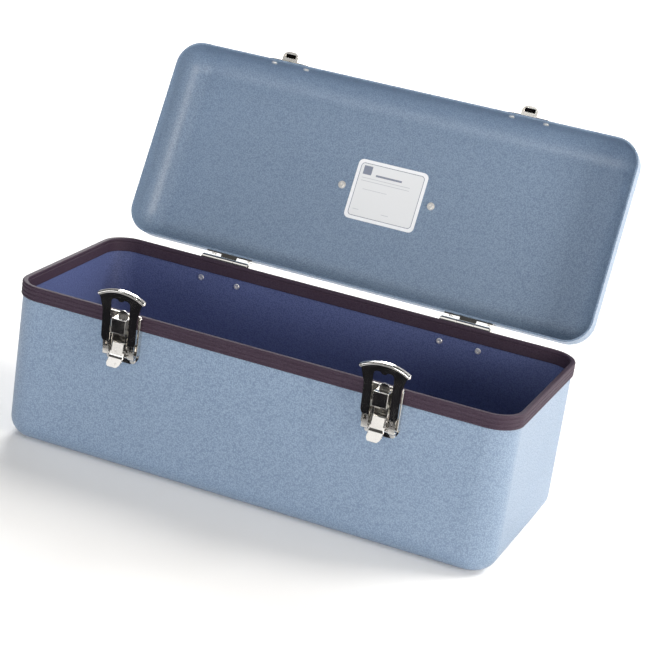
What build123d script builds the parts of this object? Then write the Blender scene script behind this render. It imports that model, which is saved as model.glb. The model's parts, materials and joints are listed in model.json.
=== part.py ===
from build123d import *
import os

# Deep-drawn aluminium tool case with a hinged lid, two draw latches and a swing handle.
#
# Millimetres: X along the case, -Y to the front, +Z up, origin at the centre of the base's underside.
# Everything on the lid is drawn with the lid shut and then swung open to its stop, which is the rest
# position. The latches rest with their levers a little off the stop and their claws leaning outwards,
# so that the lid shuts past them.

# ---- driving dimensions -------------------------------------------------------------------------
case_length = 454.0
case_width = 189.0
base_height = 141.0  # underside to the bare metal rim
lid_depth = 38.0
wall = 1.6
corner_radius = 24.0  # upright corners of both drawn shells
base_fillet = 18.0
lid_fillet = 23.6
hardware_x = 118.0  # latches, keepers and hinges stand this far each side of the middle

gasket_skin = 1.6  # rubber on each side of the wall
gasket_height = 12.5
gasket_top = 2.0  # rubber above the metal rim
lid_gap = 0.1

lid_angle = 115.4  # from shut to the open stop
hinge_behind_wall = 8.1
hinge_below_rim = 2.5

running = 0.06  # radial clearance round every pin that turns

# ---- places worked out from them ----------------------------------------------------------------
half_width = case_width / 2
rim = base_height + gasket_top  # top of the rubber, where the lid's edge lands
front_wall = -half_width
hinge_y = half_width + hinge_behind_wall
hinge_z = rim - hinge_below_rim
hinge_axis = Axis((0, hinge_y, hinge_z), (1, 0, 0))
lid_rim = rim + lid_gap
lid_top = lid_rim + lid_depth
lid_floor = lid_top - wall

# ---- hinges -------------------------------------------------------------------------------------
leaf = 1.5
barrel_radius = 3.6
barrel_length = 46.0
middle_knuckle = 16.0
knuckle_gap = 0.2
hinge_pin_radius = 1.5
hinge_rivet_x = 18.25
hinge_rivet_drop = 19.5
lid_hinge_rivet_rise = 10.0

# ---- latches, heights given from the top of the rubber --------------------------------------------
plate = 1.2
latch_pin_radius = 1.5
lever_pivot = (front_wall - 6.0, rim - 28.0)
claw_pivot = (front_wall - 4.7, rim - 36.0)
claw_plane = front_wall - 7.5  # inner face of the claw when it stands upright
claw_thick = 1.3
claw_lean = 5.0  # outwards, at rest
lever_rest = 8.0  # how far the lever stands off its stop, at rest
ear_inside = 5.3
tongue_thick = 1.4
hood_half = 6.5
hood_front = front_wall - 14.5
slot_half = 8.85
slot_top = rim + 15.4
tooth_radius = 3.4  # rounded middle of the slot's top edge, which bears on the keeper
tooth_drop = 1.9
leg_half = 16.2

# ---- handle -------------------------------------------------------------------------------------
handle_rivet_x = 44.5
handle_pivot_rise = 7.2
bail_radius = 2.5
bail_half = 55.0
bail_reach = 34.0
grip_half = 48.0


# ---- small builders -----------------------------------------------------------------------------
def block(x, y, z):
    """Box between the two limits given for each axis."""
    size = [abs(b - a) for a, b in (x, y, z)]
    middle = [(a + b) / 2 for a, b in (x, y, z)]
    return Pos(*middle) * Box(*size)


def rod_x(x, y, z, radius):
    return Pos((x[0] + x[1]) / 2, y, z) * Rot(0, 90, 0) * Cylinder(radius, abs(x[1] - x[0]))


def rod_y(y, x, z, radius):
    return Pos(x, (y[0] + y[1]) / 2, z) * Rot(90, 0, 0) * Cylinder(radius, abs(y[1] - y[0]))


def rod_z(z, x, y, radius):
    return Pos(x, y, (z[0] + z[1]) / 2) * Cylinder(radius, abs(z[1] - z[0]))


def ring_wall(outside, inside, z):
    """Upright ring that follows the case's outline; offsets are measured outwards from the metal's outer face."""
    outer = extrude(RectangleRounded(case_length + 2 * outside, case_width + 2 * outside,
                                     corner_radius + outside), z[1] - z[0])
    inner = extrude(RectangleRounded(case_length + 2 * inside, case_width + 2 * inside,
                                     corner_radius + inside), z[1] - z[0])
    return Pos(0, 0, z[0]) * (outer - inner)


def facing_front(sketch, y, thickness):
    """Sketch in X and Z, given thickness from y towards the front."""
    return Pos(0, y, 0) * extrude(Plane.XZ * sketch, thickness)


def swung_open(shape):
    return shape.rotate(hinge_axis, -lid_angle)


def at_both(shapes):
    """The same hardware at both stations, as one group."""
    return [Pos(side * hardware_x, 0, 0) * s for side in (-1, 1) for s in shapes]


parts = {}


def keep(name, shape):
    parts[name] = Compound(children=list(shape)) if isinstance(shape, list) else shape


# ---- drawn shells -------------------------------------------------------------------------------
def drawn_tray(height, bottom_radius):
    """Open tray standing on z = 0."""
    outer = extrude(RectangleRounded(case_length, case_width, corner_radius), height)
    outer = fillet(outer.edges().group_by(Axis.Z)[0], bottom_radius)
    inner = extrude(RectangleRounded(case_length - 2 * wall, case_width - 2 * wall,
                                     corner_radius - wall), height)
    inner = fillet(inner.edges().group_by(Axis.Z)[0], bottom_radius - wall)
    return outer - Pos(0, 0, wall) * inner


rivet_shank = 1.6
rivet_hole = rivet_shank + 0.05


def base_shell():
    shell = drawn_tray(base_height, base_fillet)
    for x, z in latch_rivet_places():
        shell -= at_both_holes(x, z, front_wall)
    for x in (-hinge_rivet_x, hinge_rivet_x):
        shell -= at_both_holes(x, rim - hinge_rivet_drop, half_width)
    return shell


def at_both_holes(x, z, y):
    reach = (y - 4, y + 4)
    return [rod_y(reach, side * hardware_x + x, z, rivet_hole) for side in (-1, 1)]


def lid_shell():
    tray = Pos(0, 0, lid_top) * Rot(180, 0, 0) * drawn_tray(lid_depth, lid_fillet)
    for x in (-keeper_rivet_x, keeper_rivet_x):
        tray -= at_both_holes(x, keeper_rivet_z, front_wall)
    for x in (-hinge_rivet_x, hinge_rivet_x):
        tray -= at_both_holes(x, lid_rim + lid_hinge_rivet_rise, half_width)
    for side in (-1, 1):
        tray -= rod_z((lid_floor - 2, lid_top + 2), side * handle_rivet_x, 0, rivet_hole)
    return tray


# ---- rubber edging ------------------------------------------------------------------------------
groove_depth = 0.5
groove_height = 0.9
shoulder_drop = 1.2


def rim_gasket():
    low = rim - gasket_height
    outside, inside = gasket_skin, -(wall + gasket_skin)
    rubber = ring_wall(outside, inside, (low, rim))
    rubber -= ring_wall(0, -wall, (low - 1, base_height))
    rubber -= ring_wall(outside + 1, 0.3, (rim - shoulder_drop, rim + 1))
    for rise in (gasket_height * 0.3, gasket_height * 0.62):
        rubber -= ring_wall(outside + 1, outside - groove_depth, (low + rise, low + rise + groove_height))
    return rubber


# ---- rivets -------------------------------------------------------------------------------------
head_height = 1.0
head_radius = 2.4
tail_radius = 2.8


def rivet(outer, inner, x, z, outward):
    """Rivet along Y: a low domed head outside and a rolled, dimpled tail inside the wall."""
    tail = inner - outward * 1.1
    body = rod_y((outer + outward * head_height, inner), x, z, rivet_shank)
    head = rod_y((outer, outer + outward * head_height), x, z, head_radius)
    head = fillet(head.edges().sort_by(Axis.Y)[-1 if outward > 0 else 0], 0.6)
    ring = rod_y((inner, tail), x, z, tail_radius)
    ring = fillet(ring.edges().sort_by(Axis.Y)[0 if outward > 0 else -1], 0.5)
    dimple = rod_y((tail, tail + outward * 0.8), x, z, 1.2)
    return body + head + ring - dimple


# ---- hinges -------------------------------------------------------------------------------------
def knuckle(x):
    return rod_x(x, hinge_y, hinge_z, barrel_radius)


def hinge_leaf(rise, up):
    """Leaf profile: flat on the wall, stepped out past the rubber, then up or down to the barrel."""
    flat = block((-barrel_length / 2, barrel_length / 2), (half_width, half_width + leaf), rise)
    near = rise[1] if up else rise[0]
    stretch = (near - leaf, near) if up else (near, near + leaf)
    step = block((-barrel_length / 2, barrel_length / 2), (half_width, hinge_y - 2.1), stretch)
    face = hinge_y - barrel_radius
    riser = block((-barrel_length / 2, barrel_length / 2), (face, face + leaf), (hinge_z, near))
    return flat + step + riser


def hinge_base_leaf():
    low = rim - 30.0
    shape = hinge_leaf((low, rim - gasket_height - 0.4), True)
    ends = barrel_length / 2
    inner = middle_knuckle / 2 + knuckle_gap
    shape -= block((-inner, inner), (hinge_y - 5, hinge_y + 1), (hinge_z - barrel_radius - 0.4, hinge_z + 6))
    shape += knuckle((-ends, -inner)) + knuckle((inner, ends))
    shape -= rod_x((-ends - 1, ends + 1), hinge_y, hinge_z, hinge_pin_radius + running / 2)
    for x in (-hinge_rivet_x, hinge_rivet_x):
        shape -= rod_y((half_width - 1, half_width + 3), x, rim - hinge_rivet_drop, rivet_hole)
    return shape


def hinge_lid_leaf():
    shape = hinge_leaf((lid_rim + 1.6, lid_rim + 17.0), False)
    ends = barrel_length / 2
    half = middle_knuckle / 2
    for side in (-1, 1):
        cut = (side * (half), side * (ends + 1))
        shape -= block(cut, (half_width + leaf, hinge_y + 6), (hinge_z - 6, lid_rim + 3.2))
    shape += knuckle((-half, half))
    shape -= rod_x((-half - 1, half + 1), hinge_y, hinge_z, hinge_pin_radius + running)
    for x in (-hinge_rivet_x, hinge_rivet_x):
        z = lid_rim + lid_hinge_rivet_rise
        shape -= rod_y((half_width - 1, half_width + 3), x, z, rivet_hole)
    return shape


def hinge_pin():
    half = barrel_length / 2
    pin = rod_x((-half - 1.2, half + 1.2), hinge_y, hinge_z, hinge_pin_radius)
    for side in (-1, 1):
        pin += rod_x((side * (half + 0.1), side * (half + 1.2)), hinge_y, hinge_z, 2.3)
    return pin


# ---- latch: base plate with hood, lever, pins and claw ----------------------------------------------
def latch_rivet_places():
    return [(x, rim + drop) for x in (-11.0, 11.0) for drop in (-40.6, -18.0)]


def latch_base():
    wide = 32.4
    low, step_z = rim - 43.7, rim - gasket_height - 0.7
    front = front_wall
    lower = RectangleRounded(wide, 2 * (step_z - low), 9.0)
    flat = facing_front(Pos(0, step_z) * lower, front, plate)
    flat &= block((-20, 20), (front - 5, front + 1), (low, step_z))
    past_rubber = front - gasket_skin - 0.3
    step = block((-15, 15), (front, past_rubber - plate), (step_z - plate, step_z))
    upper = block((-15, 15), (past_rubber, past_rubber - plate), (step_z - plate, rim + 0.5))
    shape = flat + step + upper
    for side in (-1, 1):
        edge = (side * 15.0, side * leg_half)
        shape += block(edge, (front, front - 6.1), (rim - 34.0, step_z))
        shape += block(edge, (past_rubber, front - 6.1), (step_z - plate, rim - 1.0))
        cheek = (side * ear_inside, side * hood_half)
        shape += block(cheek, (past_rubber, hood_front), (rim - 15.0, rim - 2.3))
        ear = block(cheek, (front, lever_pivot[0] - 2.7), (lever_pivot[1] - 5.0, rim - 14.0))
        outer_low = ear.edges().filter_by(Axis.X).group_by(Axis.Y)[0].sort_by(Axis.Z)[0]
        ear = fillet(outer_low, 3.0)
        shape += ear - block(cheek, (front + 1, past_rubber), (step_z, rim))
    shape += block((-hood_half, hood_half), (hood_front, hood_front + plate), (rim - 15.0, rim - 2.3))
    shelf = block((-hood_half, hood_half), (past_rubber, hood_front), (rim - 3.5, rim - 2.3))
    shape += shelf
    tab = facing_front(Pos(0, rim - 0.8) * Circle(4.4), front - 5.7, plate)
    shape += tab & block((-6, 6), (front - 10, front), (rim - 3.0, rim + 6))
    shape -= rod_x((-8, 8), *lever_pivot, latch_pin_radius + running / 2)
    for x, z in latch_rivet_places():
        shape -= rod_y((front - 3, front + 1), x, z, rivet_hole)
    return shape


def latch_lever():
    """Cheeks round both pins, with a finger tongue in front that curls outwards at its tip."""
    y0, z0 = lever_pivot
    y1, z1 = claw_pivot
    tongue_in = front_wall - 9.1
    tongue_mid = tongue_in - tongue_thick / 2
    foremost = tongue_in - 0.6
    corners = [(y0, z0, 2.9), (y1, z1, 2.5), (foremost, z0 + 2, 0.7), (foremost, z1 - 1, 0.7)]
    outlines = [(Pos(y, z) * Circle(radius)).edges() for y, z, radius in corners]
    cheeks = Pos(-5.1, 0, 0) * extrude(Plane.YZ * make_hull(sum(outlines, ShapeList())), 10.2)
    cheeks -= block((-3.9, 3.9), (y0 + 6, tongue_in), (z1 - 8, z0 + 8))
    neck = block((-5.1, 5.1), (tongue_in, tongue_in - tongue_thick), (z0 - 6.0, z0 + 3.0))
    route = Plane.YZ * FilletPolyline((tongue_mid, z0 - 5.0), (tongue_mid, z0 - 9.5), (tongue_mid - 6.0, z0 - 17.5),
                                      radius=7.0)
    section = Plane(origin=(0, tongue_mid, z0 - 5.0), z_dir=(0, 0, -1)) * RectangleRounded(13.2, tongue_thick, 0.6)
    tongue = sweep(section, path=route)
    rounded = Pos(0, z0 + 12.1) * RectangleRounded(13.2, 60.0, 5.6)
    tongue &= facing_front(rounded, front_wall, 30.0)
    lever = cheeks + neck + tongue
    lever -= rod_x((-8, 8), y0, z0, latch_pin_radius + running)
    lever -= rod_x((-8, 8), y1, z1, latch_pin_radius + running)
    return lever


def claw_outline(inset):
    """Fan-shaped head on two legs, in X and Z, drawn the given distance inside the plate's edge."""
    leg, tip = leg_half - inset, 21.7 - 1.6 * inset
    foot, waist, brow = rim - 24.0 + inset, rim + 1.0, rim + 17.5 - 0.8 * inset
    left = [Line((-leg + 1.2, foot), (-leg, foot + 3)), Line((-leg, foot + 3), (-leg, waist)),
            Spline((-leg, waist), (-leg - 1.6, rim + 8.5), (-tip, brow), tangents=((0, 1), (-0.75, 0.65)))]
    top = ThreePointArc((-tip, brow), (0, rim + 23.5 - inset), (tip, brow))
    right = [edge.mirror(Plane.YZ) for edge in left]
    sill = Line((-leg + 1.2, foot), (leg - 1.2, foot))
    return make_face(Curve() + left + [top] + right + [sill])


def claw_bead():
    """Rolled edge along the top of the head, with a ball at each end."""
    top = ThreePointArc((-20.6, rim + 16.4), (0, rim + 22.1), (20.6, rim + 16.4))
    path = Pos(0, claw_plane - 0.1, 0) * (Plane.XZ * top)
    section = Plane(origin=path @ 0, z_dir=path % 0) * Circle(1.6)
    balls = [Pos(*(path @ end)) * Sphere(1.7) for end in (0, 1)]
    return sweep(section, path=path) + balls


def claw():
    """Drawn upright; the caller leans it outwards."""
    front = claw_plane
    outline = claw_outline(0)
    high = block((-30, 30), (front - 5, front + 5), (rim + 15.5, rim + 30))
    shape = facing_front(outline, front + 0.9, claw_thick + 0.9)
    shape += facing_front(outline, front + 2.2, 2.7) & high
    shape -= facing_front(claw_outline(claw_thick), front + 5, 5)
    shape += claw_bead()
    slot = Pos(0, (slot_top + rim - 30) / 2) * RectangleRounded(2 * slot_half, slot_top - rim + 30, 3.4)
    slot -= Pos(0, slot_top + tooth_radius - tooth_drop) * Circle(tooth_radius)
    shape -= facing_front(slot, front + 5, 10)
    y1, z1 = claw_pivot
    for side in (-1, 1):
        x = (side * 9.0, side * 14.6)
        strap = Plane.YZ * Polygon((front, rim - 21.0), (front - claw_thick, rim - 21.0),
                                   (y1 - 2.4, z1), (y1 - 0.6, z1 + 2.0), align=None)
        strap = Pos(min(x), 0, 0) * extrude(strap, abs(x[1] - x[0]))
        eye = rod_x(x, y1, z1, 2.4)
        window = block((side * 10.4, side * 13.2), (front - 6, front + 6), (rim - 29.5, rim - 25.8))
        shape += strap + eye - window
        shape -= rod_x((side * 8.5, side * 15.5), y1, z1, latch_pin_radius + running)
    return shape


# ---- keeper on the lid --------------------------------------------------------------------------
keeper_rivet_x = 16.25
keeper_rivet_z = lid_rim + 8.5


def keeper():
    """Plate on the lid's front with a hooded lug; the pocket under it drops over the latch's tab."""
    front = front_wall
    flat = facing_front(Pos(0, lid_rim + 8.5) * RectangleRounded(42.0, 12.0, 5.9), front, plate)
    reach = 10.3
    lug = block((-7.6, 7.6), (front - reach, front - 0.6), (lid_rim + 2.4, lid_rim + 12.6))
    lug = fillet(lug.edges().filter_by(Axis.Z).group_by(Axis.Y)[0], 5.5)
    lug = fillet(lug.faces().sort_by(Axis.Z)[-1].edges(), 0.8)
    pocket = block((-4.9, 4.9), (front - 4.2, front - 7.9), (lid_rim, lid_rim + 10.0))
    shape = flat + lug - pocket
    for x in (-keeper_rivet_x, keeper_rivet_x):
        shape -= rod_y((front - 3, front + 1), x, keeper_rivet_z, rivet_hole)
    return shape


# ---- handle on the lid --------------------------------------------------------------------------
pivot_z = lid_top + handle_pivot_rise


def handle_bracket():
    foot = Pos(0, 0, lid_top) * extrude(RectangleRounded(9.6, 24.0, 3.0), 2.0)
    boss = block((-4.8, 4.8), (-5.5, 5.5), (lid_top, pivot_z)) + rod_x((-4.8, 4.8), 0, pivot_z, 5.5)
    shape = foot + boss - rod_x((-6, 6), 0, pivot_z, bail_radius + running)
    return shape - rod_z((lid_top - 1, lid_top + 3.6), 0, 0, rivet_hole)


def handle_rivet():
    shank = rod_z((lid_floor, lid_top + 3.5), 0, 0, rivet_shank)
    washer = rod_z((lid_floor - 0.8, lid_floor), 0, 0, 3.6)
    button = rod_z((lid_floor - 1.8, lid_floor - 0.8), 0, 0, 2.7)
    button = fillet(button.edges().sort_by(Axis.Z)[0], 0.5)
    return shank + washer + button - rod_z((lid_floor - 1.8, lid_floor - 1.0), 0, 0, 1.2)


def handle_bail():
    """Bent rod whose turned-in ends pivot in the brackets; drawn standing straight up."""
    end = handle_rivet_x - 5.5
    route = FilletPolyline((-end, 0), (-bail_half, 0), (-bail_half, bail_reach), (bail_half, bail_reach),
                           (bail_half, 0), (end, 0), radius=5.0)
    path = Pos(0, 0, pivot_z) * (Plane.XZ * route)
    section = Plane(origin=path @ 0, z_dir=path % 0) * Circle(bail_radius)
    return sweep(section, path=path)


def handle_grip():
    section = Plane.YZ * Ellipse(6.5, 8.2)
    grip = Pos(-grip_half, 0, 0) * extrude(section, 2 * grip_half)
    grip = fillet(grip.edges(), 2.5)
    bore = rod_x((-grip_half - 1, grip_half + 1), 0, 0, bail_radius)
    return Pos(0, 0, pivot_z + bail_reach) * (grip - bore)


def hanging(shape):
    """Leans the upright handle back so that it hangs plumb once the lid stands open."""
    return shape.rotate(Axis((0, 0, pivot_z), (1, 0, 0)), lid_angle - 180)


# ---- data plate ---------------------------------------------------------------------------------
def label_plate():
    return Pos(0, 0, lid_floor - 0.4) * extrude(RectangleRounded(69.5, 57.5, 4.0), 0.4)


# ---- assembly -----------------------------------------------------------------------------------
def front_rivets():
    return at_both([rivet(front_wall - plate, front_wall + wall, x, z, -1) for x, z in latch_rivet_places()])


def rear_rivets(z):
    return at_both([rivet(half_width + leaf, half_width - wall, x, z, 1) for x in (-hinge_rivet_x, hinge_rivet_x)])


def keeper_rivets():
    return at_both([rivet(front_wall - plate, front_wall + wall, x, keeper_rivet_z, -1)
                    for x in (-keeper_rivet_x, keeper_rivet_x)])


lever_axis = Axis((0, *lever_pivot), (1, 0, 0))


def lifted(shape):
    """Turns a lever, or what hangs on it, from its stop out to where it rests."""
    return shape.rotate(lever_axis, -lever_rest)


def lean(shape):
    """Carries the claw with its lever, and leaves it leaning outwards."""
    return lifted(shape.rotate(Axis((0, *claw_pivot), (1, 0, 0)), claw_lean + lever_rest))


keep("base_shell", base_shell())
keep("rim_gasket", rim_gasket())
keep("hinge_base_rivets", rear_rivets(rim - hinge_rivet_drop))
keep("latch_rivets", front_rivets())
keep("lid_shell", swung_open(lid_shell()))
keep("hinge_lid_rivets", [swung_open(r) for r in rear_rivets(lid_rim + lid_hinge_rivet_rise)])
keep("keeper_rivets", [swung_open(r) for r in keeper_rivets()])
keep("data_plate", swung_open(label_plate()))
keep("handle_rivets", [swung_open(Pos(side * handle_rivet_x, 0, 0) * handle_rivet()) for side in (-1, 1)])
keep("handle_bail", swung_open(hanging(handle_bail())))
keep("handle_grip", swung_open(hanging(handle_grip())))

latch_parts = {"latch_base": latch_base(), "latch_lever": lifted(latch_lever()), "claw": lean(claw()),
               "lever_pin": rod_x((-7.3, 7.3), *lever_pivot, latch_pin_radius),
               "claw_pin": lifted(rod_x((-14.9, 14.9), *claw_pivot, latch_pin_radius))}
hinge_parts = {"hinge_base_leaf": hinge_base_leaf(), "hinge_pin": hinge_pin()}
lid_parts = {"keeper": keeper(), "hinge_lid_leaf": hinge_lid_leaf()}
for side, word in ((-1, "left"), (1, "right")):
    for name, shape in (latch_parts | hinge_parts).items():
        keep(f"{name}_{word}", Pos(side * hardware_x, 0, 0) * shape)
    for name, shape in lid_parts.items():
        keep(f"{name}_{word}", swung_open(Pos(side * hardware_x, 0, 0) * shape))
    keep(f"handle_bracket_{word}", swung_open(Pos(side * handle_rivet_x, 0, 0) * handle_bracket()))

os.makedirs("parts", exist_ok=True)
for name, shape in parts.items():
    export_step(shape, f"parts/{name}.step")
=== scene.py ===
import json
import math

import bmesh
import bpy
from mathutils import Matrix, Quaternion, Vector
from mathutils.bvhtree import BVHTree


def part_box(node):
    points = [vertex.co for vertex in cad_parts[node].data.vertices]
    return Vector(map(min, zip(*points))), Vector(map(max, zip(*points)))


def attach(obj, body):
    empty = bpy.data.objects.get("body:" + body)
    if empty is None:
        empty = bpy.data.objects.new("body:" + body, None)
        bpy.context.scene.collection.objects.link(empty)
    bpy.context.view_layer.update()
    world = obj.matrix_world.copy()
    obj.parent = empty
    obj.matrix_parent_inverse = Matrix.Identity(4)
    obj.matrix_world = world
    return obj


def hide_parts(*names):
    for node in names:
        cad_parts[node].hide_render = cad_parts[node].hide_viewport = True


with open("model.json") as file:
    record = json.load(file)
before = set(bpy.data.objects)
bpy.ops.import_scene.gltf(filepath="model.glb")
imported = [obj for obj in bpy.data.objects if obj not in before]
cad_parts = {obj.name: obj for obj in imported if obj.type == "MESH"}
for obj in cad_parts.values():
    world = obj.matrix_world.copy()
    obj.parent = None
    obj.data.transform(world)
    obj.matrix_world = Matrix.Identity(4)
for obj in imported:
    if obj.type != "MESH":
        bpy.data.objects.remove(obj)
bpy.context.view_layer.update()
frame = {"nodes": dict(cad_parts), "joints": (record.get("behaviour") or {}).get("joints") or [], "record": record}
mm = 0.001
sides = ("left", "right")


# Places that several pieces share, read from the frame

lidJoint = next(joint for joint in frame["joints"] if joint["name"] == "lid_hinge")
lidPivot = Vector(lidJoint["pos_m"])
lidAngle = math.radians(lidJoint["range_deg"][1])
gasketLow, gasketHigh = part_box("rim_gasket")
sheet = 1.6  # thickness of the drawn metal, in millimetres


# a turn about the lid's hinge line: lidAngle shuts the open lid
def lidTurn(angle):
    return Matrix.Translation(lidPivot) @ Matrix.Rotation(angle, 4, "X") @ Matrix.Translation(-lidPivot)


# height of the lid's outside when it is shut
def shutTop():
    shut = lidTurn(lidAngle)
    return max((shut @ vert.co).z for vert in frame["nodes"]["lid_shell"].data.vertices)


# Camera

camera = {
    "azimuth": 19.588,
    "elevation": 19.028,
    "roll": 8.507,
    "distance": 1.8085,
    "aim": (0.00674, 0.04853, 0.12603),
    "lens": 113.44,
}


def placeCamera():
    azimuth, elevation = math.radians(camera["azimuth"]), math.radians(camera["elevation"])
    back = Vector((math.sin(azimuth) * math.cos(elevation), -math.cos(azimuth) * math.cos(elevation),
                   math.sin(elevation)))
    turn = back.to_track_quat("Z", "Y").to_matrix().to_4x4()
    roll = Matrix.Rotation(math.radians(camera["roll"]), 4, "Z")
    data = bpy.data.cameras.new("camera")
    data.lens = camera["lens"]
    eye = bpy.data.objects.new("camera", data)
    eye.matrix_world = Matrix.Translation(Vector(camera["aim"]) + back * camera["distance"]) @ turn @ roll
    bpy.context.collection.objects.link(eye)
    bpy.context.scene.camera = eye


placeCamera()
print("camera placed")


# Node helpers

def setInput(tree, socket, value):
    if isinstance(value, bpy.types.NodeSocket):
        tree.links.new(value, socket)
    else:
        socket.default_value = value


def addNode(tree, kind, inputs=None, **settings):
    node = tree.nodes.new(kind)
    for key, value in settings.items():
        setattr(node, key, value)
    for key, value in (inputs or {}).items():
        setInput(tree, node.inputs[key], value)
    return node


def calc(tree, operation, *values):
    return addNode(tree, "ShaderNodeMath", dict(enumerate(values)), operation=operation).outputs[0]


def noise(tree, vector, scale, detail, roughness=0.5):
    inputs = {"Vector": vector, "Scale": scale, "Detail": detail, "Roughness": roughness}
    return addNode(tree, "ShaderNodeTexNoise", inputs)


# carries a value from the range start to end over to the range low to high, and keeps it there
def spread(tree, value, low=0.0, high=1.0, start=0.0, end=1.0):
    inputs = {"Value": value, "From Min": start, "From Max": end, "To Min": low, "To Max": high}
    return addNode(tree, "ShaderNodeMapRange", inputs).outputs["Result"]


def mixValue(tree, factor, first, second):
    return addNode(tree, "ShaderNodeMix", {"Factor": factor, "A": first, "B": second}).outputs["Result"]


# the colour sockets of a Mix node share their names with the others, so they go by number
def mixColour(tree, factor, first, second, blend="MIX"):
    inputs = {0: factor, 6: first, 7: second}
    return addNode(tree, "ShaderNodeMix", inputs, data_type="RGBA", blend_type=blend).outputs[2]


def bump(tree, shader, height, strength, distance):
    node = addNode(tree, "ShaderNodeBump", {"Height": height, "Strength": strength, "Distance": distance})
    setInput(tree, shader.inputs["Normal"], node.outputs["Normal"])


def startGroup(name, inputs, outputs):
    group = bpy.data.node_groups.new(name, "ShaderNodeTree")
    for label, (kind, value) in inputs.items():
        socket = group.interface.new_socket(label, in_out="INPUT", socket_type=kind)
        if value is not None:
            socket.default_value = value
    for label in outputs:
        group.interface.new_socket(label, in_out="OUTPUT", socket_type="NodeSocketFloat")
    return group, group.nodes.new("NodeGroupInput").outputs, group.nodes.new("NodeGroupOutput").inputs


def fillGroup(tree, group, inputs):
    return addNode(tree, "ShaderNodeGroup", inputs, node_tree=group).outputs


def startMaterial(name):
    material = bpy.data.materials.new(name)
    material.use_nodes = True
    tree = material.node_tree
    shader = tree.nodes["Principled BSDF"]
    place = tree.nodes.new("ShaderNodeTexCoord")
    return material, tree, shader, place.outputs["Object"]


# Effects that several finishes share

grainPattern = {
    "warpScale": 260.0,
    "warp": 0.0009,  # how far the cells are pushed about, in metres
    "cellSoftness": 0.6,
    "pitScale": 1000.0,
    "mottleRange": (0.38, 0.70),
}


# pebbled paint: soft cells with finer pits between them
def makeLeatherGrain():
    group, entry, leave = startGroup("leatherGrain", {
        "Vector": ("NodeSocketVector", None),
        "Scale": ("NodeSocketFloat", 600.0),
        "Detail": ("NodeSocketFloat", 0.35),
    }, ("Height", "Mottle"))
    warp = noise(group, entry["Vector"], grainPattern["warpScale"], 2.0)
    pushed = addNode(group, "ShaderNodeVectorMath", {0: warp.outputs["Color"], "Scale": grainPattern["warp"]},
                     operation="SCALE").outputs["Vector"]
    bent = addNode(group, "ShaderNodeVectorMath", {0: entry["Vector"], 1: pushed},
                   operation="ADD").outputs["Vector"]
    cells = addNode(group, "ShaderNodeTexVoronoi", {"Vector": bent, "Scale": entry["Scale"],
                    "Smoothness": grainPattern["cellSoftness"]}, feature="SMOOTH_F1")
    pits = noise(group, entry["Vector"], grainPattern["pitScale"], 2.0)
    sunk = mixValue(group, entry["Detail"], cells.outputs["Distance"], pits.outputs["Fac"])
    raised = calc(group, "SUBTRACT", 1.0, sunk)
    start, end = grainPattern["mottleRange"]
    setInput(group, leave["Height"], raised)
    setInput(group, leave["Mottle"], spread(group, raised, start=start, end=end))
    return group


handlingPattern = {"patchRoughness": 0.6, "speckScale": 420.0, "speckRange": (0.62, 0.78)}


# broad patches of wear and faint dust that break up a finish
def makeHandling():
    group, entry, leave = startGroup("handling", {
        "Vector": ("NodeSocketVector", None),
        "Scale": ("NodeSocketFloat", 12.0),
    }, ("Patches", "Specks"))
    patches = noise(group, entry["Vector"], entry["Scale"], 4.0, handlingPattern["patchRoughness"])
    specks = noise(group, entry["Vector"], handlingPattern["speckScale"], 2.0)
    start, end = handlingPattern["speckRange"]
    setInput(group, leave["Patches"], patches.outputs["Fac"])
    setInput(group, leave["Specks"], spread(group, specks.outputs["Fac"], start=start, end=end))
    return group


brushPattern = {"stretch": (0.06, 1.0, 0.35), "waveScale": 160.0, "waveShare": 0.5}


# fine scratches left by polishing, over shallow waves
def makeBrushing():
    group, entry, leave = startGroup("brushing", {
        "Vector": ("NodeSocketVector", None),
        "Scale": ("NodeSocketFloat", 900.0),
    }, ("Height",))
    stretched = addNode(group, "ShaderNodeMapping", {"Vector": entry["Vector"],
                        "Scale": brushPattern["stretch"]}).outputs["Vector"]
    lines = noise(group, stretched, entry["Scale"], 3.0)
    waves = noise(group, entry["Vector"], brushPattern["waveScale"], 1.0)
    both = mixValue(group, brushPattern["waveShare"], lines.outputs["Fac"], waves.outputs["Fac"])
    setInput(group, leave["Height"], both)
    return group


leatherGrain = makeLeatherGrain()
handling = makeHandling()
brushing = makeBrushing()


# Case paint

casePaint = {
    "high": (0.252, 0.342, 0.458, 1),
    "low": (0.138, 0.198, 0.298, 1),
    "patch": (0.192, 0.266, 0.374, 1),
    "patchScale": 9.0,
    "patchStrength": 0.35,
    "inside": (0.46, 0.43, 0.69, 1),  # painted shade on the base's inside: this multiplies the colour
    "middle": (0.0, 0.0, 0.08),
    "grainScale": 860.0,
    "grainDepth": 0.00030,
    "grainStrength": 0.8,
    "roughness": (0.32, 0.46),
    "specular": 0.55,
}


# 1 where a face looks towards the middle of the case
def inwardMask(tree, middle):
    place = addNode(tree, "ShaderNodeTexCoord").outputs
    away = addNode(tree, "ShaderNodeVectorMath", {0: place["Object"], 1: middle}, operation="SUBTRACT")
    facing = addNode(tree, "ShaderNodeVectorMath", {0: away.outputs["Vector"], 1: place["Normal"]},
                     operation="DOT_PRODUCT")
    return calc(tree, "LESS_THAN", facing.outputs["Value"], 0.0)


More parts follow.
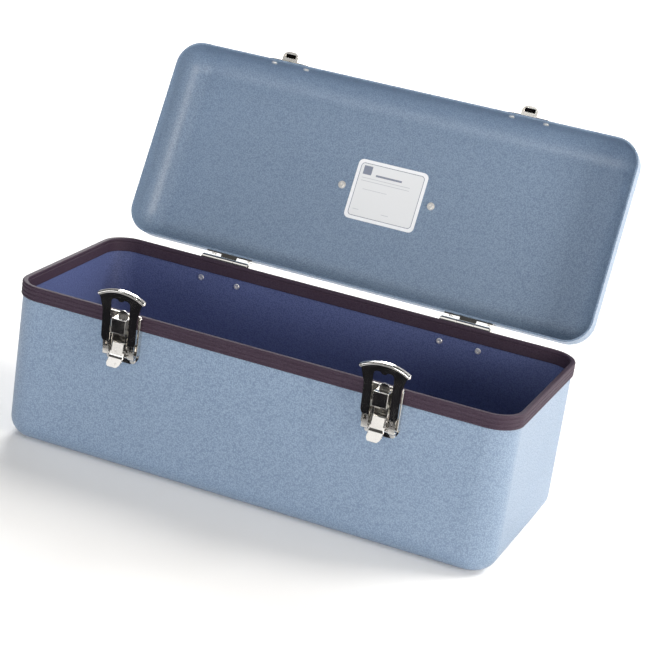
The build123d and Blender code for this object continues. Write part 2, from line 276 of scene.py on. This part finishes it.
def makeCasePaint(name, paintedInsideShade):
    material, tree, shader, place = startMaterial(name)
    grain = fillGroup(tree, leatherGrain, {"Vector": place, "Scale": casePaint["grainScale"]})
    worn = fillGroup(tree, handling, {"Vector": place, "Scale": casePaint["patchScale"]})
    colour = mixColour(tree, grain["Mottle"], casePaint["low"], casePaint["high"])
    patched = calc(tree, "MULTIPLY", worn["Patches"], casePaint["patchStrength"])
    colour = mixColour(tree, patched, colour, casePaint["patch"])
    # painted shade: the base's colour is multiplied darker wherever a face looks in towards the middle of the case
    if paintedInsideShade:
        insideShadeMask = inwardMask(tree, casePaint["middle"])
        colour = mixColour(tree, insideShadeMask, colour, casePaint["inside"], "MULTIPLY")
    setInput(tree, shader.inputs["Base Color"], colour)
    setInput(tree, shader.inputs["Roughness"], spread(tree, worn["Patches"], *casePaint["roughness"]))
    setInput(tree, shader.inputs["Specular IOR Level"], casePaint["specular"])
    bump(tree, shader, grain["Height"], casePaint["grainStrength"], casePaint["grainDepth"])
    return material


# Rubber

rubber = {
    "body": (0.034, 0.018, 0.034, 1),
    "bloom": (0.070, 0.050, 0.072, 1),
    "bloomScale": 30.0,
    "grainScale": 1100.0,
    "grainDetail": 0.6,
    "grainDepth": 0.00008,
    "grainStrength": 0.5,
    "roughness": (0.54, 0.70),
    "specular": 0.28,
}


def makeRubber():
    material, tree, shader, place = startMaterial("agedRubber")
    grain = fillGroup(tree, leatherGrain, {"Vector": place, "Scale": rubber["grainScale"],
                      "Detail": rubber["grainDetail"]})
    worn = fillGroup(tree, handling, {"Vector": place, "Scale": rubber["bloomScale"]})
    bloomed = calc(tree, "MULTIPLY", worn["Patches"], grain["Mottle"])
    setInput(tree, shader.inputs["Base Color"], mixColour(tree, bloomed, rubber["body"], rubber["bloom"]))
    setInput(tree, shader.inputs["Roughness"], spread(tree, worn["Patches"], *rubber["roughness"]))
    setInput(tree, shader.inputs["Specular IOR Level"], rubber["specular"])
    bump(tree, shader, grain["Height"], rubber["grainStrength"], rubber["grainDepth"])
    return material


# Plated hardware

plating = {
    "nickelPlate": {"clean": (0.74, 0.72, 0.69, 1), "roughness": (0.06, 0.17)},
    "keeperPlate": {"clean": (0.90, 0.87, 0.81, 1), "roughness": (0.18, 0.28)},
    "rivetMetal": {"clean": (0.86, 0.84, 0.81, 1), "roughness": (0.34, 0.48)},
}
platingWear = {
    "stain": (0.52, 0.49, 0.46, 1),
    "stainStrength": 0.6,
    "patchScale": 70.0,
    "patchRange": (0.3, 0.7),
    "brushScale": 900.0,
    "brushDepth": 0.00004,
    "brushStrength": 0.35,
    "recessShade": (0.020, 0.016, 0.014, 1),  # painted shade, laid where the recess attribute is high
    "recessShadeRange": (0.45, 0.80),
}


def makePlating(name, shadedRecesses=False):
    material, tree, shader, place = startMaterial(name)
    marks = fillGroup(tree, brushing, {"Vector": place, "Scale": platingWear["brushScale"]})
    worn = fillGroup(tree, handling, {"Vector": place, "Scale": platingWear["patchScale"]})
    spots = calc(tree, "MULTIPLY", worn["Specks"], platingWear["stainStrength"])
    colour = mixColour(tree, spots, plating[name]["clean"], platingWear["stain"])
    # painted shade: darkens the plating where the recess attribute says a face is shut in
    if shadedRecesses:
        shutIn = addNode(tree, "ShaderNodeAttribute", attribute_name="recess")
        start, end = platingWear["recessShadeRange"]
        depth = spread(tree, shutIn.outputs["Fac"], start=start, end=end)
        colour = mixColour(tree, depth, colour, platingWear["recessShade"])
    setInput(tree, shader.inputs["Base Color"], colour)
    setInput(tree, shader.inputs["Metallic"], 1.0)
    rough = spread(tree, worn["Patches"], *plating[name]["roughness"], *platingWear["patchRange"])
    setInput(tree, shader.inputs["Roughness"], rough)
    bump(tree, shader, marks["Height"], platingWear["brushStrength"], platingWear["brushDepth"])
    return material


# Grip plastic

gripPlastic = {
    "body": (0.014, 0.014, 0.016, 1),
    "scuffed": (0.06, 0.06, 0.065, 1),
    "scuffScale": 40.0,
    "grainScale": 900.0,
    "grainDepth": 0.0001,
    "grainStrength": 0.4,
    "roughness": (0.38, 0.6),
}


def makeGripPlastic():
    material, tree, shader, place = startMaterial("gripPlastic")
    grain = fillGroup(tree, leatherGrain, {"Vector": place, "Scale": gripPlastic["grainScale"]})
    worn = fillGroup(tree, handling, {"Vector": place, "Scale": gripPlastic["scuffScale"]})
    colour = mixColour(tree, worn["Specks"], gripPlastic["body"], gripPlastic["scuffed"])
    setInput(tree, shader.inputs["Base Color"], colour)
    setInput(tree, shader.inputs["Roughness"], spread(tree, worn["Patches"], *gripPlastic["roughness"]))
    bump(tree, shader, grain["Height"], gripPlastic["grainStrength"], gripPlastic["grainDepth"])
    return material


# Sticker: bordered, with a plain block and blank ruled fields. Its pattern is in millimetres on its UV map

sticker = {
    "width": 69.5,
    "height": 57.5,
    "corner": 5.0,
    "thickness": 0.3,
    "border": 3.4,
    "borderLine": 0.5,
    "paper": (0.80, 0.82, 0.84, 1),
    "margin": (0.90, 0.92, 0.95, 1),
    "ink": (0.16, 0.19, 0.27, 1),
    "blockStrength": 0.9,
    "ruleStrength": 0.4,
    # each is the middle across, the middle up, half the width and half the height
    "blocks": ((-24.0, 19.0, 4.2, 4.2), (-2.0, 15.5, 13.0, 0.9)),
    "rules": ((-4.0, 11.6, 24.0, 0.25), (-4.0, 8.8, 24.0, 0.25), (-12.0, 1.0, 12.0, 0.22),
              (-25.0, -19.0, 3.0, 0.25), (4.0, -19.0, 3.5, 0.25)),
    "patchScale": 60.0,
    "roughness": (0.3, 0.5),
    "bumpDepth": 0.0002,
    "bumpStrength": 0.2,
}


# 1 inside a rectangle of the sticker
def boxMask(tree, x, y, centreX, centreY, halfWidth, halfHeight):
    masks = []
    for value, centre, half in ((x, centreX, halfWidth), (y, centreY, halfHeight)):
        offset = calc(tree, "ABSOLUTE", calc(tree, "SUBTRACT", value, centre))
        masks.append(calc(tree, "LESS_THAN", offset, half))
    return calc(tree, "MULTIPLY", *masks)


# distance outside a rounded rectangle, less than nothing inside it
def roundedDistance(tree, x, y, halfWidth, halfHeight, corner):
    far = []
    for value, half in ((x, halfWidth), (y, halfHeight)):
        far.append(calc(tree, "SUBTRACT", calc(tree, "ABSOLUTE", value), half - corner))
    squares = [calc(tree, "POWER", calc(tree, "MAXIMUM", value, 0.0), 2.0) for value in far]
    outside = calc(tree, "SQRT", calc(tree, "ADD", *squares))
    inside = calc(tree, "MINIMUM", calc(tree, "MAXIMUM", *far), 0.0)
    return calc(tree, "SUBTRACT", calc(tree, "ADD", outside, inside), corner)


def makeStickerPaper():
    material, tree, shader, place = startMaterial("stickerPaper")
    uv = addNode(tree, "ShaderNodeUVMap", uv_map="sticker")
    split = addNode(tree, "ShaderNodeSeparateXYZ", {"Vector": uv.outputs["UV"]})
    x = calc(tree, "MULTIPLY", split.outputs["X"], sticker["width"])
    y = calc(tree, "MULTIPLY", split.outputs["Y"], sticker["height"])
    inset = sticker["border"]
    edge = roundedDistance(tree, x, y, sticker["width"] / 2 - inset, sticker["height"] / 2 - inset,
                           sticker["corner"] - inset / 2)
    colour = mixColour(tree, calc(tree, "GREATER_THAN", edge, 0.0), sticker["paper"], sticker["margin"])
    line = calc(tree, "LESS_THAN", calc(tree, "ABSOLUTE", edge), sticker["borderLine"] / 2)
    colour = mixColour(tree, line, colour, sticker["ink"])
    for strength, shapes in (("blockStrength", "blocks"), ("ruleStrength", "rules")):
        for shape in sticker[shapes]:
            mask = calc(tree, "MULTIPLY", boxMask(tree, x, y, *shape), sticker[strength])
            colour = mixColour(tree, mask, colour, sticker["ink"])
    setInput(tree, shader.inputs["Base Color"], colour)
    worn = fillGroup(tree, handling, {"Vector": place, "Scale": sticker["patchScale"]})
    setInput(tree, shader.inputs["Roughness"], spread(tree, worn["Patches"], *sticker["roughness"]))
    bump(tree, shader, worn["Patches"], sticker["bumpStrength"], sticker["bumpDepth"])
    return material


lidPaint = makeCasePaint("lidPaint", paintedInsideShade=False)
basePaint = makeCasePaint("basePaint", paintedInsideShade=True)
rubberMaterial = makeRubber()
platingMaterial = makePlating("nickelPlate")
keeperMaterial = makePlating("keeperPlate", shadedRecesses=True)
rivetMaterial = makePlating("rivetMetal")
gripMaterial = makeGripPlastic()
stickerMaterial = makeStickerPaper()
print("materials made")


# Mesh helpers

def objectFrom(mesh, name, material, smooth):
    data = bpy.data.meshes.new(name)
    mesh.to_mesh(data)
    mesh.free()
    data.materials.append(material)
    for face in data.polygons:
        face.use_smooth = smooth
    made = bpy.data.objects.new(name, data)
    bpy.context.collection.objects.link(made)
    return made


# turns a bmesh into a piece that rides on a body and stands for a CAD node
def finishPiece(mesh, name, body, material, replaced, smooth=True):
    piece = objectFrom(mesh, name, material, smooth)
    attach(piece, body)
    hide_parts(replaced)
    return piece


def addModifier(piece, name, kind, **settings):
    modifier = piece.modifiers.new(name, kind)
    for key, value in settings.items():
        setattr(modifier, key, value)
    return modifier


# vertices and edges among what an operator gives back
def vertsOf(items):
    return [item for item in items if isinstance(item, bmesh.types.BMVert)]


def edgesOf(items):
    return [item for item in items if isinstance(item, bmesh.types.BMEdge)]


# extrudes edges, moves what is new by a step and gives it back
def drawOut(mesh, edges, step):
    moved = bmesh.ops.extrude_edge_only(mesh, edges=edges)["geom"]
    bmesh.ops.translate(mesh, verts=vertsOf(moved), vec=step)
    return vertsOf(moved), edgesOf(moved)


# Rolled edges of pressed metal

rolling = {
    "sharp": math.radians(32),  # an edge that turns more than this is rolled over
    "flat": math.radians(0.5),  # an edge that turns less than this is taken out first
    "room": 2.4,  # shortest neighbouring edge, in widths of the roll
    "merge": 2e-6,
    "segments": 3,
}


# sharp edges long enough to be rolled over without running into their neighbours
def edgesToRoll(mesh, width):
    room = rolling["room"] * width
    return [edge for edge in mesh.edges if edge.is_manifold and edge.calc_face_angle() > rolling["sharp"]
            and min(other.calc_length() for vert in edge.verts for other in vert.link_edges) > room]


# a copy of a CAD node with its sharp edges rolled over, as pressing and plating leave them
def softened(node, body, material, width):
    mesh = bmesh.new()
    mesh.from_mesh(frame["nodes"][node].data)
    bmesh.ops.remove_doubles(mesh, verts=mesh.verts, dist=rolling["merge"])
    bmesh.ops.dissolve_limit(mesh, angle_limit=rolling["flat"], verts=mesh.verts, edges=mesh.edges)
    bmesh.ops.bevel(mesh, geom=edgesToRoll(mesh, width), offset=width, segments=rolling["segments"],
                    profile=0.5, affect="EDGES", clamp_overlap=True, material=-1)
    piece = finishPiece(mesh, f"{node}_piece", body, material, node)
    piece.data.set_sharp_from_angle(angle=rolling["sharp"])
    addModifier(piece, "edges", "BEVEL", width=width, segments=rolling["segments"], limit_method="ANGLE",
                angle_limit=rolling["sharp"], harden_normals=True)
    addModifier(piece, "flats", "WEIGHTED_NORMAL", keep_sharp=True)
    return piece


recess = {"reach": 15.0, "lift": 0.05, "turns": 12, "leans": (0.4, 1.2)}  # reach and lift in millimetres


# how shut in each face is, from 0 for open to 1, kept as an attribute that the painted recess shade follows
def markRecesses(piece):
    data = piece.data
    corners = [vert.co for vert in data.vertices]
    skin = BVHTree.FromPolygons(corners, [tuple(face.vertices) for face in data.polygons])
    layer = data.attributes.new("recess", "FLOAT", "FACE")
    for face in data.polygons:
        start = face.center + face.normal * recess["lift"] * mm
        across = face.normal.orthogonal().normalized()
        turns = [math.tau * step / recess["turns"] for step in range(recess["turns"])]
        sideways = [Quaternion(face.normal, turn) @ across for turn in turns]
        rays = [(face.normal + side * lean).normalized() for side in sideways for lean in recess["leans"]]
        hits = sum(skin.ray_cast(start, ray, recess["reach"] * mm)[0] is not None for ray in rays)
        layer.data[face.index].value = hits / len(rays)


# Rubber edging: one section carried round the rim

edging = {
    "cornerRadius": 25.6,
    "cornerSteps": 12,
    "skin": 1.6,  # rubber on each side of the wall
    "ribs": (0.20, 0.46, 0.76),  # heights up the outer face, as parts of the whole
    "ribDepth": 0.6,
    "ribFoot": 1.0,  # half the groove's height at the surface
    "ribTip": 0.35,  # and at its bottom
    "innerGroove": 0.6,
    "softWidth": 0.2,
    "softAngle": 25,  # in degrees
}


# outline of the rubber in millimetres: distance outwards from the outer face, and height
def edgingSection():
    tall = (gasketHigh.z - gasketLow.z) / mm
    whole = 2 * edging["skin"] + sheet
    depth, foot, tip = edging["ribDepth"], edging["ribFoot"], edging["ribTip"]
    points = [(-0.5, 0.0), (-0.1, 0.5)]
    for rib in edging["ribs"]:
        middle = rib * tall
        points += [(0.0, middle - foot), (-depth, middle - tip), (-depth, middle + tip), (0.0, middle + foot)]
    points += [(-0.05, tall - 1.1), (-0.5, tall - 0.3), (-1.1, tall)]
    points += [(-whole + 1.0, tall), (-whole + 0.3, tall - 0.35), (-whole, tall - 1.2)]
    groove = -whole + edging["innerGroove"]
    points += [(-whole, tall - 2.4), (groove, tall - 2.8), (groove, tall - 3.3), (-whole, tall - 3.8)]
    points += [(-whole, 0.6), (-whole + 0.5, 0.0)]
    return points


def makeEdging():
    radius = edging["cornerRadius"] * mm
    halfX, halfY = gasketHigh.x, gasketHigh.y
    mesh = bmesh.new()
    start = [mesh.verts.new((-halfX + radius, -(halfY + out * mm), gasketLow.z + up * mm))
             for out, up in edgingSection()]
    ring = [mesh.edges.new((start[i], start[(i + 1) % len(start)])) for i in range(len(start))]
    straights = (Vector((2 * (halfX - radius), 0, 0)), Vector((0, 2 * (halfY - radius), 0)))
    centres = ((1, -1), (1, 1), (-1, 1), (-1, -1))
    for index, (signX, signY) in enumerate(centres):
        verts, ring = drawOut(mesh, ring, straights[index % 2] * (1 if index < 2 else -1))
        centre = Vector((signX * (halfX - radius), signY * (halfY - radius), 0))
        turned = bmesh.ops.spin(mesh, geom=verts + ring, cent=centre, axis=(0, 0, 1), angle=math.pi / 2,
                                steps=edging["cornerSteps"], use_merge=False)["geom_last"]
        ring = edgesOf(turned)
    bmesh.ops.remove_doubles(mesh, verts=mesh.verts, dist=1e-5)
    bmesh.ops.recalc_face_normals(mesh, faces=mesh.faces)
    piece = finishPiece(mesh, "rubberEdging", "case", rubberMaterial, "rim_gasket")
    addModifier(piece, "soft", "BEVEL", width=edging["softWidth"] * mm, segments=2, limit_method="ANGLE",
                angle_limit=math.radians(edging["softAngle"]), harden_normals=True)


makeEdging()
print("rubber edging made")


# Sticker in the lid

def makeSticker():
    lidTop = shutTop()
    width, height = sticker["width"] * mm, sticker["height"] * mm
    mesh = bmesh.new()
    bmesh.ops.create_grid(mesh, x_segments=1, y_segments=1, size=0.5)
    bmesh.ops.scale(mesh, verts=mesh.verts, vec=(width, height, 1))
    bmesh.ops.bevel(mesh, geom=mesh.verts[:], offset=sticker["corner"] * mm, segments=8, profile=0.5,
                    affect="VERTICES", material=-1)
    layer = mesh.loops.layers.uv.new("sticker")
    for face in mesh.faces:
        for loop in face.loops:
            # the sticker is read from inside the open lid, with its head at the lid's front
            loop[layer].uv = (loop.vert.co.x / width, -loop.vert.co.y / height)
    skin = bmesh.ops.extrude_face_region(mesh, geom=mesh.faces[:])["geom"]
    bmesh.ops.translate(mesh, verts=vertsOf(skin), vec=(0, 0, -sticker["thickness"] * mm))
    bmesh.ops.recalc_face_normals(mesh, faces=mesh.faces)
    bmesh.ops.translate(mesh, verts=mesh.verts, vec=(0, 0, lidTop - sheet * mm))
    mesh.transform(lidTurn(-lidAngle))
    finishPiece(mesh, "sticker", "lid", stickerMaterial, "data_plate", smooth=False)


makeSticker()
print("sticker made")


# Grip: a moulded bar with finger hollows

grip = {
    "halfLength": 48.0,
    "halfThick": 6.5,
    "halfTall": 8.2,
    "taperFrom": 0.93,  # parts of the half length
    "taper": 0.22,
    "hollowsTo": 0.84,
    "hollows": 4,
    "hollowDepth": 1.6,
    "rings": 64,
    "segments": 40,
    "endRoll": 0.8,
    "endAngle": 50,  # in degrees
}


# draws in the grip's ends and presses the finger hollows into its underside
def shapeGrip(mesh, half):
    start, reach = grip["taperFrom"], grip["hollowsTo"]
    for vert in mesh.verts:
        along = vert.co.x / half
        ends = 1 - grip["taper"] * max(0.0, (abs(along) - start) / (1 - start)) ** 2
        vert.co.y *= ends
        vert.co.z *= ends
        if vert.co.z < 0 and abs(along) < reach:
            wave = 0.5 - 0.5 * math.cos((along / reach + 1) * math.pi * grip["hollows"])
            vert.co.z -= grip["hollowDepth"] * wave * vert.co.z / grip["halfTall"]


def makeGrip():
    low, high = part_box("handle_grip")
    centre = (low + high) / 2
    mesh = bmesh.new()
    bmesh.ops.create_circle(mesh, segments=grip["segments"], radius=1.0)
    half = grip["halfLength"] * mm
    bmesh.ops.rotate(mesh, verts=mesh.verts, matrix=Matrix.Rotation(math.pi / 2, 3, "Y"))
    bmesh.ops.scale(mesh, verts=mesh.verts, vec=(1, grip["halfThick"] * mm, grip["halfTall"] * mm))
    bmesh.ops.translate(mesh, verts=mesh.verts, vec=(-half, 0, 0))
    ring = mesh.edges[:]
    for count in range(grip["rings"]):
        verts, ring = drawOut(mesh, ring, (2 * half / grip["rings"], 0, 0))
    bmesh.ops.holes_fill(mesh, edges=[edge for edge in mesh.edges if edge.is_boundary], sides=0)
    shapeGrip(mesh, half)
    bmesh.ops.recalc_face_normals(mesh, faces=mesh.faces)
    bmesh.ops.translate(mesh, verts=mesh.verts, vec=centre)
    piece = finishPiece(mesh, "handleGripMoulding", "handle", gripMaterial, "handle_grip")
    addModifier(piece, "ends", "BEVEL", width=grip["endRoll"] * mm, segments=4, limit_method="ANGLE",
                angle_limit=math.radians(grip["endAngle"]), harden_normals=True)


makeGrip()
print("grip made")


# Hardware: each CAD node gets a copy with rolled edges

edgeWidths = {  # in millimetres
    "latch_base": 0.40,
    "latch_lever": 0.40,
    "claw": 0.65,
    "keeper": 0.35,
    "hinge_base_leaf": 0.25,
    "hinge_lid_leaf": 0.25,
    "handle_bracket": 0.50,
}
bodyOf = {node: body for body, nodes in frame["record"]["behaviour"]["bodies"].items() for node in nodes}
for side in sides:
    for part, width in edgeWidths.items():
        node = f"{part}_{side}"
        material = keeperMaterial if part == "keeper" else platingMaterial
        piece = softened(node, bodyOf[node], material, width * mm)
        if part == "keeper":
            markRecesses(piece)
print("hardware softened")


# Everything else keeps its CAD shape and takes a finish

def dress(nodes, material):
    for node in nodes:
        for slot in frame["nodes"][node].material_slots:
            slot.material = material


dress(["base_shell"], basePaint)
dress(["lid_shell"], lidPaint)
dress([f"{part}_rivets" for part in ("hinge_base", "hinge_lid", "latch", "keeper", "handle")], rivetMaterial)
dress(["handle_bail"], platingMaterial)
dress([f"{part}_pin_{side}" for part in ("hinge", "lever", "claw") for side in sides], platingMaterial)
print("finishes given")


# Studio: a pale floor that curves up behind, soft lights, and a dark card for the plating to mirror

studio = {
    "floorSize": 14.0,
    "floorLevel": -0.0002,  # just under the case, so that the two faces don't share a plane
    "wallDistance": 5.0,
    "wallHeight": 5.0,
    "curve": 1.5,
    "curveSteps": 16,
    "floorRoughness": 0.8,
    "floorColour": (0.93, 0.93, 0.93, 1),
    "floorGlow": 0.06,
    "worldColour": (1.0, 1.0, 1.0, 1),
    "worldStrength": 0.069,
    "cardLow": (-0.40, -0.64),  # dark card in front, seen only in reflections
    "cardHigh": (0.20, -0.21),
    "cardLift": 0.002,
    "cardColour": (0.01, 0.01, 0.012, 1),
}
lights = {
    # each has its place, what it is aimed at, its width in metres, its watts and its colour
    "key": ((1.7, 1.0, 1.9), (0, 0, 0.1), 1.1, 52.0, (1.0, 0.98, 0.95)),
    "top": ((-0.4, -0.9, 2.1), (0, 0, 0.1), 1.8, 9.0, (1.0, 1.0, 1.0)),
    "end": ((2.2, -0.9, 0.7), (0, 0, 0.1), 1.0, 34.0, (1.0, 0.93, 0.84)),
    "endBack": ((2.4, 0.5, 0.9), (0, 0, 0.1), 1.0, 12.0, (1.0, 0.94, 0.86)),
    "frontLow": ((0.3, -2.6, 0.4), (0, 0, 0.1), 1.2, 33.0, (1.0, 1.0, 1.0)),
    "frontLeft": ((-1.6, -2.2, 0.35), (0, 0, 0.1), 1.2, 9.0, (0.96, 0.98, 1.0)),
    "back": ((-0.8, 2.0, 1.5), (0, 0, 0.1), 1.2, 50.0, (1.0, 1.0, 1.0)),
    "backdrop": ((0.8, 2.6, 2.6), (1.2, 5.0, 0.4), 1.2, 90.0, (1.0, 1.0, 1.0)),
}


def makeFloor():
    mesh = bmesh.new()
    half = studio["floorSize"] / 2
    curve, wall = studio["curve"], studio["wallDistance"]
    start = [mesh.verts.new((x, -half, studio["floorLevel"])) for x in (-half, half)]
    edge = mesh.edges.new(start)
    verts, edges = drawOut(mesh, [edge], (0, half + wall - curve, 0))
    last = bmesh.ops.spin(mesh, geom=verts + edges, cent=(0, wall - curve, curve), axis=(1, 0, 0),
                          angle=math.pi / 2, steps=studio["curveSteps"], use_merge=False)["geom_last"]
    drawOut(mesh, edgesOf(last), (0, 0, studio["wallHeight"]))
    material, tree, shader, place = startMaterial("paleFloor")
    setInput(tree, shader.inputs["Base Color"], studio["floorColour"])
    setInput(tree, shader.inputs["Roughness"], studio["floorRoughness"])
    setInput(tree, shader.inputs["Emission Color"], (1, 1, 1, 1))
    setInput(tree, shader.inputs["Emission Strength"], studio["floorGlow"])
    floor = objectFrom(mesh, "floor", material, smooth=True)


# the card casts no shadow and the camera doesn't see it
def makeCard():
    mesh = bmesh.new()
    bmesh.ops.create_grid(mesh, x_segments=1, y_segments=1, size=0.5)
    low, high = Vector(studio["cardLow"]), Vector(studio["cardHigh"])
    size, middle = high - low, (low + high) / 2
    bmesh.ops.scale(mesh, verts=mesh.verts, vec=(size.x, size.y, 1))
    bmesh.ops.translate(mesh, verts=mesh.verts, vec=(middle.x, middle.y, studio["cardLift"]))
    material, tree, shader, place = startMaterial("cardBlack")
    setInput(tree, shader.inputs["Base Color"], studio["cardColour"])
    setInput(tree, shader.inputs["Roughness"], 1.0)
    setInput(tree, shader.inputs["Specular IOR Level"], 0.0)
    card = objectFrom(mesh, "darkCard", material, smooth=False)
    card.visible_camera = False
    card.visible_diffuse = False
    card.visible_shadow = False
    card.visible_transmission = False


def makeLights():
    for name, (place, aim, size, watts, colour) in lights.items():
        data = bpy.data.lights.new(name, "AREA")
        data.shape = "DISK"
        data.size = size
        data.energy = watts
        data.color = colour
        lamp = bpy.data.objects.new(name, data)
        turn = (Vector(aim) - Vector(place)).to_track_quat("-Z", "Y").to_matrix().to_4x4()
        lamp.matrix_world = Matrix.Translation(place) @ turn
        bpy.context.collection.objects.link(lamp)
    world = bpy.data.worlds.new("studio")
    world.use_nodes = True
    background = world.node_tree.nodes["Background"]
    background.inputs["Color"].default_value = studio["worldColour"]
    background.inputs["Strength"].default_value = studio["worldStrength"]
    bpy.context.scene.world = world


makeFloor()
makeCard()
makeLights()
bpy.context.scene.view_settings.view_transform = "Standard"
print("studio lit")
